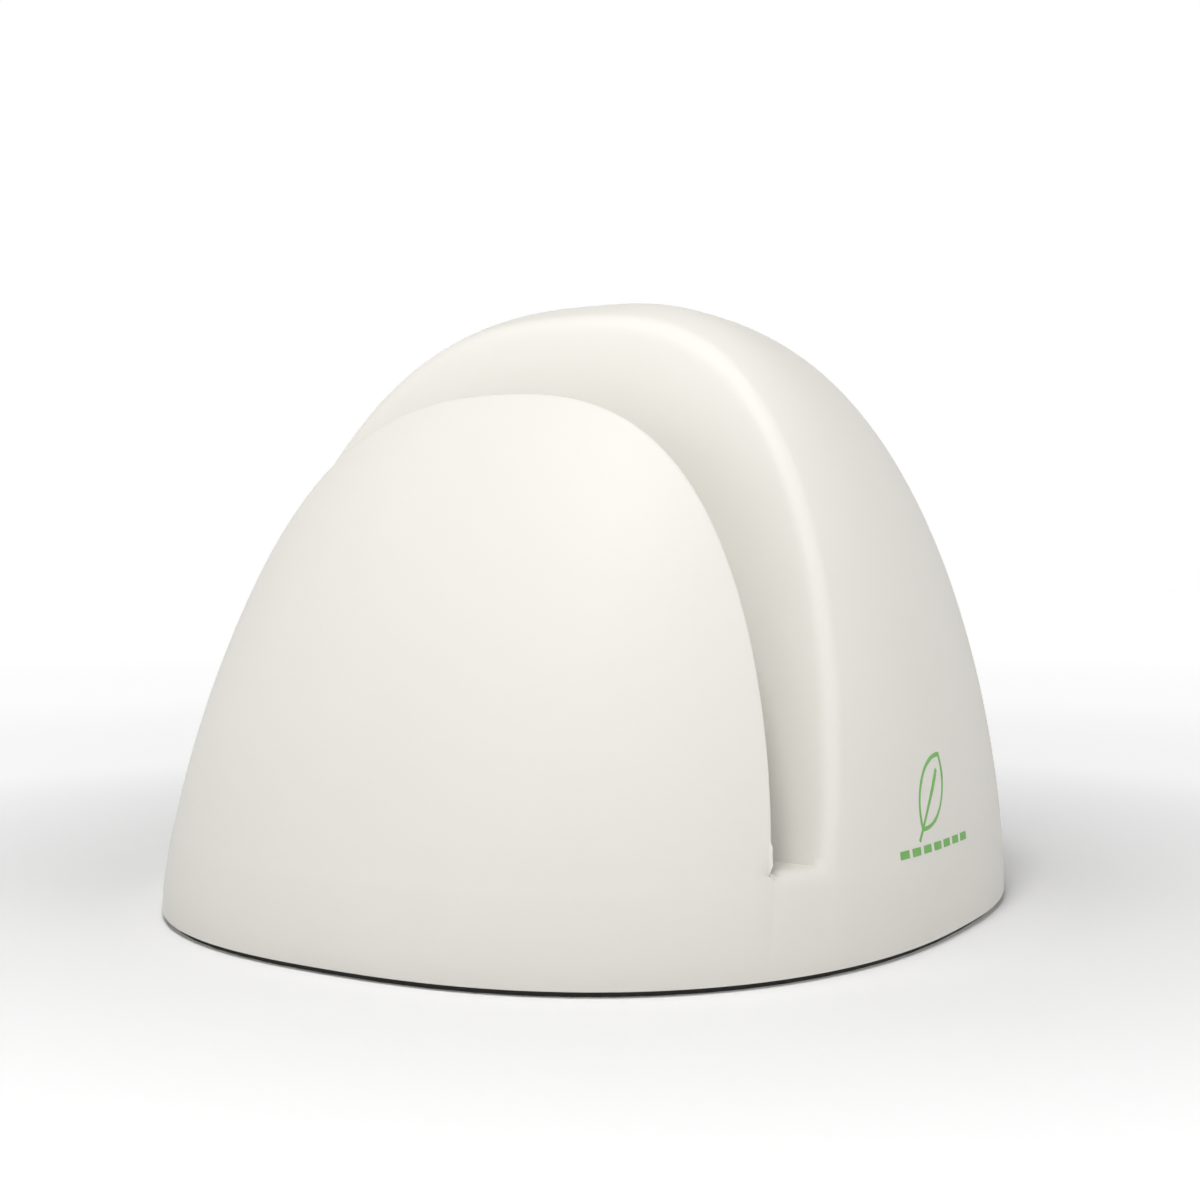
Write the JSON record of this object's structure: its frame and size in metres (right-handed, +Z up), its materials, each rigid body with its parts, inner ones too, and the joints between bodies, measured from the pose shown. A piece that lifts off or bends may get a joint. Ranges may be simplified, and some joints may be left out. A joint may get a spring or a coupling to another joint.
{
  "type": "calf hutch",
  "caption": "Moulded dome calf hutch with a raked groove behind its nose, a rubber ground ring, an arched doorway with a hanging bar gate and buckets, and a roof vent.",
  "frame": {"origin": "centre of the overall box, on the ground", "axes": "+X to the right of the nose as seen from the front, +Y from the nose to the doorway, +Z up"},
  "size_m": [1.6, 1.76, 1.215],
  "materials": {
    "moulded_shell": "satin moulded polyethylene",
    "ring_rubber": "matte moulded rubber",
    "galvanised_steel": "hot-dip galvanised, spangled",
    "zinc_fixings": "zinc plated",
    "water_bucket_plastic": "blue polyethylene",
    "feed_bucket_plastic": "grey polyethylene",
    "vent_plate_plastic": "grey moulded plastic",
    "vent_disc_plastic": "blue moulded plastic",
    "mark_green": "raised green mark"
  },
  "bodies": {
    "hutch": {"shell": "moulded_shell", "base_ring": "ring_rubber", "base_bolts": "zinc_fixings", "base_washers": "zinc_fixings", "base_nuts": "zinc_fixings", "door_frame": "galvanised_steel", "frame_bolts": "zinc_fixings", "frame_washers": "zinc_fixings", "frame_nuts": "zinc_fixings", "hinge_brackets": "galvanised_steel", "hinge_pins": "zinc_fixings", "latch_keeper": "galvanised_steel", "vent_plate": "vent_plate_plastic", "vent_screws": "zinc_fixings", "vent_pivot": "zinc_fixings", "vent_nut": "zinc_fixings", "side_mark": "mark_green"},
    "gate": {"gate_frame": "galvanised_steel", "gate_knuckles": "galvanised_steel", "latch_guides": "galvanised_steel", "bucket_rings": "galvanised_steel"},
    "latch": {"latch_bolt": "zinc_fixings"},
    "water": {"water_bucket": "water_bucket_plastic"},
    "feed": {"feed_bucket": "feed_bucket_plastic"},
    "water_handle": {"water_bail": "zinc_fixings"},
    "feed_handle": {"feed_bail": "zinc_fixings"},
    "shutter": {"vent_disc": "vent_disc_plastic"}
  },
  "joints": [
    {"name": "gate_swing", "type": "hinge", "parent": "hutch", "child": "gate", "pos_m": [-0.305, 0.869, 0.3], "axis": [0, 0, 1], "range_deg": [0, 110]},
    {"name": "latch_slide", "type": "slide", "parent": "gate", "child": "latch", "axis": [1, 0, 0], "range_m": [0, 0.034]},
    {"name": "water_lift", "type": "slide", "parent": "gate", "child": "water", "axis": [0, 0, 1], "range_m": [0, 0.22]},
    {"name": "feed_lift", "type": "slide", "parent": "gate", "child": "feed", "axis": [0, 0, 1], "range_m": [0, 0.22]},
    {"name": "water_bail_swing", "type": "hinge", "parent": "water", "child": "water_handle", "pos_m": [-0.122, 0.7, 0.416], "axis": [0, 1, 0], "range_deg": [0, 90]},
    {"name": "feed_bail_swing", "type": "hinge", "parent": "feed", "child": "feed_handle", "pos_m": [0.122, 0.7, 0.416], "axis": [0, -1, 0], "range_deg": [0, 90]},
    {"name": "vent_turn", "type": "hinge", "parent": "hutch", "child": "shutter", "pos_m": [0, 0.50281, 1.1097], "axis": [0, 0.65, 0.76], "range_deg": [0, 30]}
  ]
}
